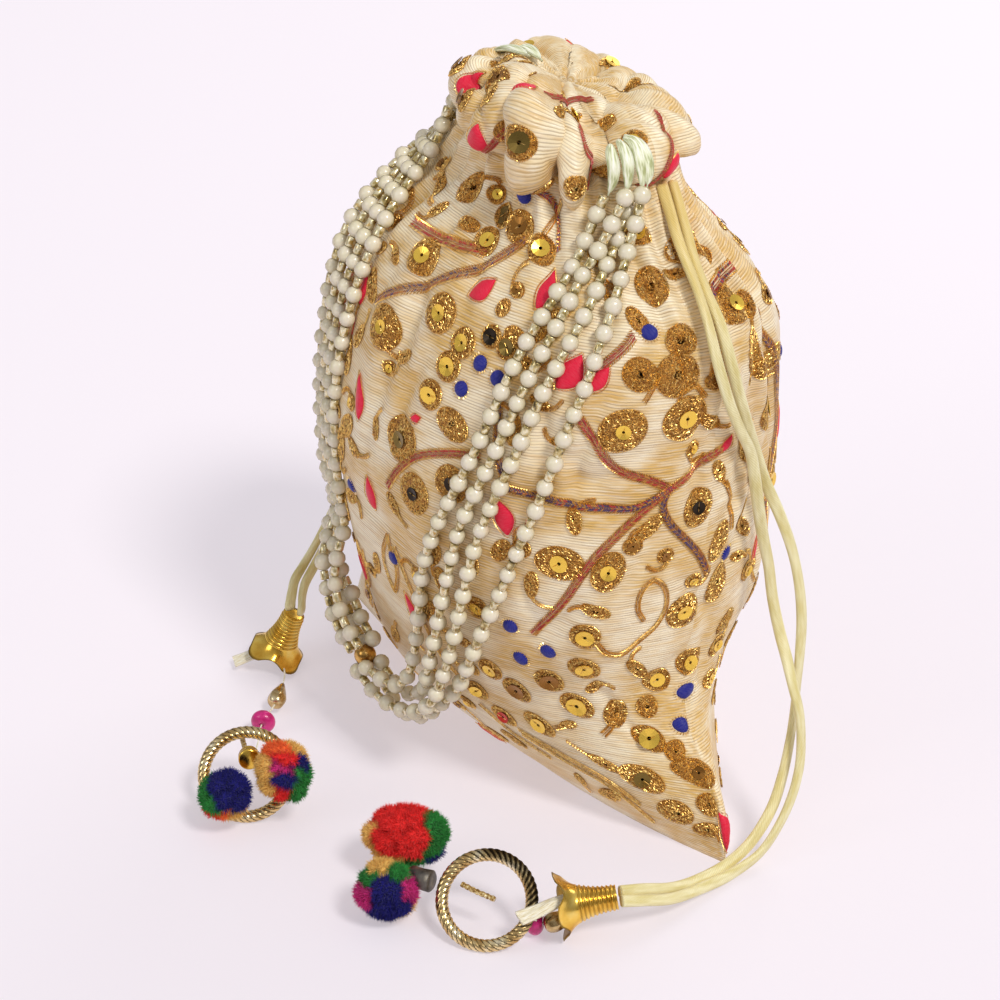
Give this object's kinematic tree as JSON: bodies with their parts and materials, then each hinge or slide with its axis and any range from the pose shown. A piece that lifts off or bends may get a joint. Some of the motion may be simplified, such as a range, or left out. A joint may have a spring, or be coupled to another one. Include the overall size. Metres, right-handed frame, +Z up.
{
  "type": "potli bag",
  "caption": "Stuffed drawstring pouch of embroidered raw silk with a beaded handle and tasselled satin cords.",
  "frame": {"origin": "on the surface the bag stands on, under the middle of the pouch", "axes": "+Z up from the bottom seam to the gathered mouth, +X along the bottom seam to the right, the front faces -Y"},
  "size_m": [0.1889, 0.1701, 0.2002],
  "materials": {
    "silk": "cream-gold raw silk with a slubbed weft, zari embroidery, sequins and satin-stitch leaves",
    "pearl": "ivory imitation pearls with clear silver-lined glass tube beads between",
    "satin": "pale yellow-cream satin cord and ribbon with a soft sheen",
    "brass": "gilt pressed metal, ribbed, worn darker in the grooves",
    "grey_metal": "dull grey metal sleeve",
    "magenta_bead": "polished magenta bead",
    "zari": "twisted metallic gold thread",
    "wool": "cut acrylic wool in red, green, navy, yellow and magenta"
  },
  "bodies": {
    "root": {"pouch": "silk", "strand_right_1": "pearl", "strand_right_2": "pearl", "strand_right_3": "pearl", "strand_right_4": "pearl", "strand_left_1": "pearl", "strand_left_2": "pearl", "strand_left_3": "pearl", "strand_left_4": "pearl", "handle_bead": "brass", "handle_loop_right": "satin", "handle_loop_left": "satin", "drawstring_right_1": "satin", "drawstring_right_2": "satin", "drawstring_left_1": "satin", "drawstring_left_2": "satin", "bell_cap_right": "brass", "ribbon_tail_right": "satin", "drop_bead_right": "brass", "rondelle_bead_right": "magenta_bead", "ring_right": "brass", "tie_right": "zari", "cap_bead_right": "grey_metal", "pompom_right_1": "wool", "pompom_right_2": "wool", "bell_cap_left": "brass", "ribbon_tail_left": "satin", "drop_bead_left": "brass", "rondelle_bead_left": "magenta_bead", "ring_left": "brass", "tie_left": "zari", "cap_bead_left": "brass", "pompom_left_1": "wool", "pompom_left_2": "wool"}
  },
  "joints": []
}
